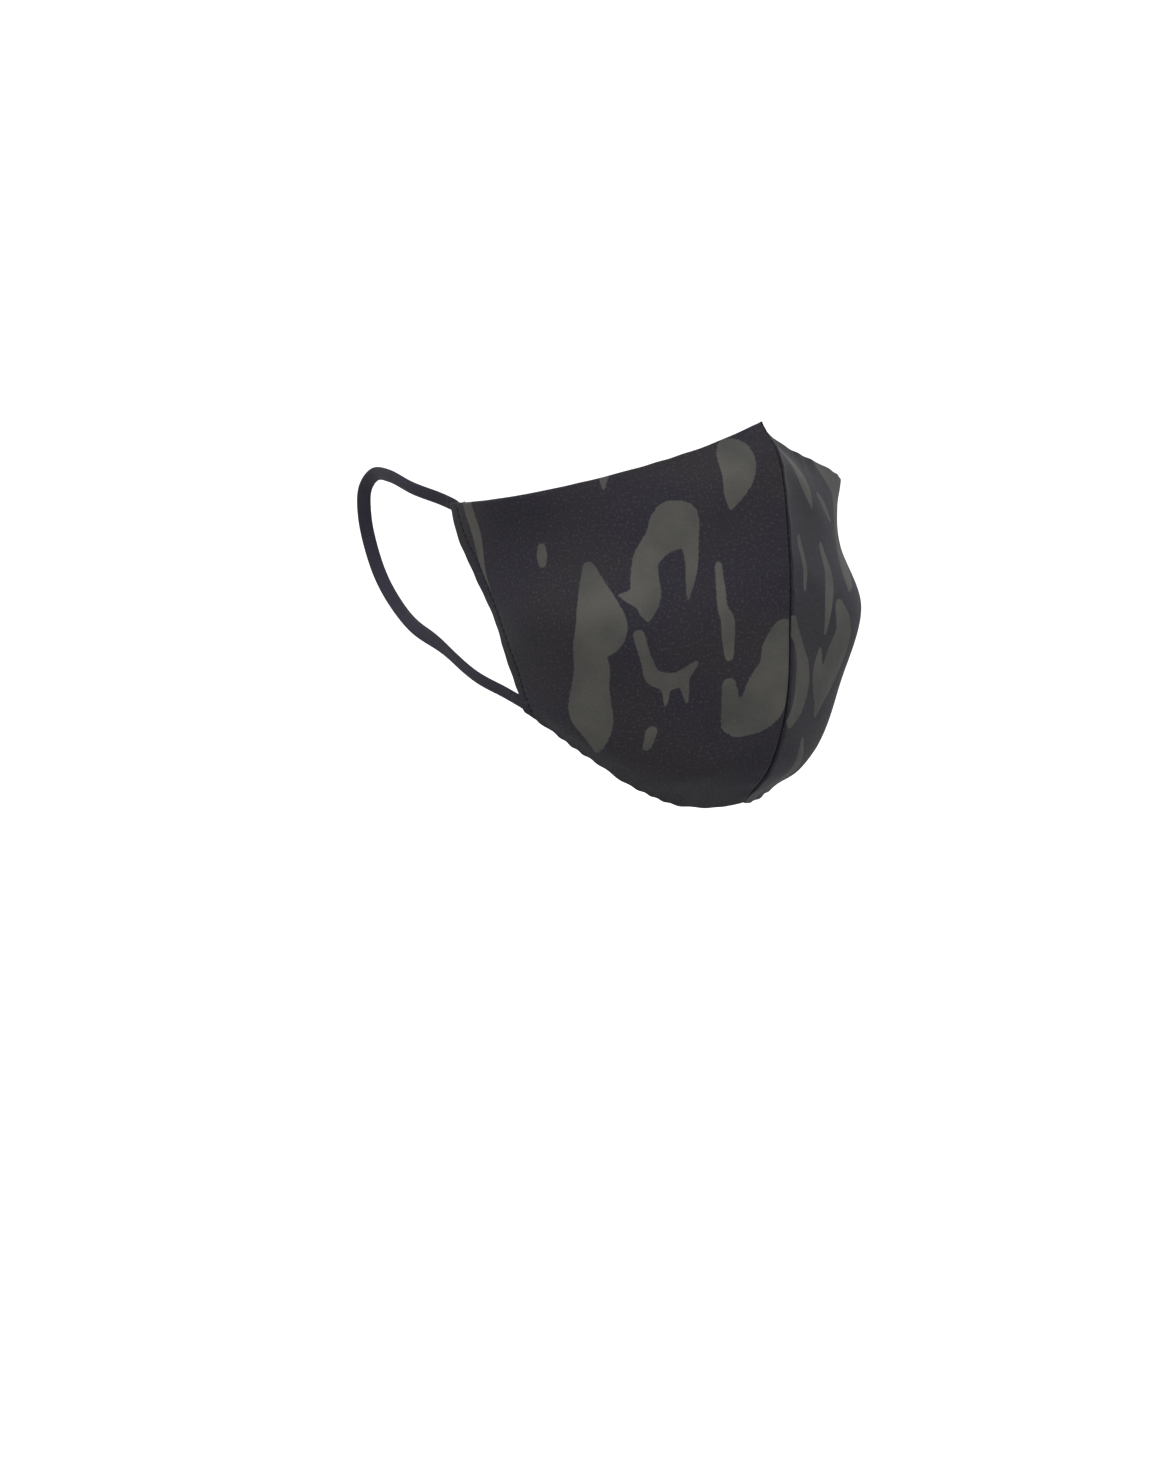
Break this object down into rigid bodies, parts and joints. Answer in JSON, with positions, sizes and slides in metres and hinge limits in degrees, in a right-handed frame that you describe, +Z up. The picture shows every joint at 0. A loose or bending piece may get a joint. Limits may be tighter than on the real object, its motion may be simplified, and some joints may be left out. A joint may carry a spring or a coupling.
{
  "type": "cloth face mask",
  "caption": "Two-panel cloth face mask with a curved centre seam, side hems, a lining and flat elastic ear loops, in dark woodland-style camouflage cloth.",
  "frame": {"origin": "midway between the wearer's ears, level with the ear openings, where the head holds the mask", "axes": "+Z up, -Y the way the wearer faces, -X towards the wearer's right ear; the centre seam lies in the YZ plane"},
  "size_m": [0.1632, 0.1521, 0.1352],
  "materials": {
    "outer_cloth": "matt woven",
    "lining": "matt woven",
    "thread": "satin",
    "elastic": "matt ribbed"
  },
  "bodies": {
    "centre_seam": {"centre_seam_ridge": "outer_cloth", "centre_seam_thread": "thread", "lining_seam_thread": "thread"},
    "right_half": {"right_outer_panel": "outer_cloth", "right_lining_panel": "lining", "right_side_hem_thread": "thread", "right_top_edge_thread": "thread", "right_bottom_edge_thread": "thread", "right_elastic_top_end": "elastic", "right_elastic_bottom_end": "elastic", "right_top_tack": "thread", "right_bottom_tack": "thread"},
    "right_loop": {"right_elastic_upper_strand": "elastic", "right_elastic_lower_strand": "elastic"},
    "right_bow": {"right_elastic_bow": "elastic"},
    "left_half": {"left_outer_panel": "outer_cloth", "left_lining_panel": "lining", "left_side_hem_thread": "thread", "left_top_edge_thread": "thread", "left_bottom_edge_thread": "thread", "left_elastic_top_end": "elastic", "left_elastic_bottom_end": "elastic", "left_top_tack": "thread", "left_bottom_tack": "thread"},
    "left_loop": {"left_elastic_upper_strand": "elastic", "left_elastic_lower_strand": "elastic"},
    "left_bow": {"left_elastic_bow": "elastic"}
  },
  "joints": [
    {"name": "right_fold", "type": "hinge", "parent": "centre_seam", "child": "right_half", "pos_m": [0, -0.095, -0.0365], "axis": [0, 0.06, -0.9982], "range_deg": [0, 22]},
    {"name": "right_swing", "type": "hinge", "parent": "right_half", "child": "right_loop", "pos_m": [-0.0646, -0.0428, -0.0343], "axis": [-0.1753, 0.2981, 0.9383], "range_deg": [-15, 85]},
    {"name": "right_stretch", "type": "slide", "parent": "right_loop", "child": "right_bow", "axis": [0, 1, 0], "range_m": [0, 0.03], "stiffness_N_per_m": 30, "deforming": ["right_elastic_upper_strand", "right_elastic_lower_strand"]},
    {"name": "left_fold", "type": "hinge", "parent": "centre_seam", "child": "left_half", "pos_m": [0, -0.095, -0.0365], "axis": [0, 0.06, -0.9982], "range_deg": [-22, 0]},
    {"name": "left_swing", "type": "hinge", "parent": "left_half", "child": "left_loop", "pos_m": [0.0646, -0.0428, -0.0343], "axis": [-0.1753, -0.2981, -0.9383], "range_deg": [-15, 85]},
    {"name": "left_stretch", "type": "slide", "parent": "left_loop", "child": "left_bow", "axis": [0, 1, 0], "range_m": [0, 0.03], "stiffness_N_per_m": 30, "deforming": ["left_elastic_upper_strand", "left_elastic_lower_strand"]}
  ],
  "couplings": [
    {"joint": "left_fold", "follows": "right_fold", "ratio": -1}
  ]
}
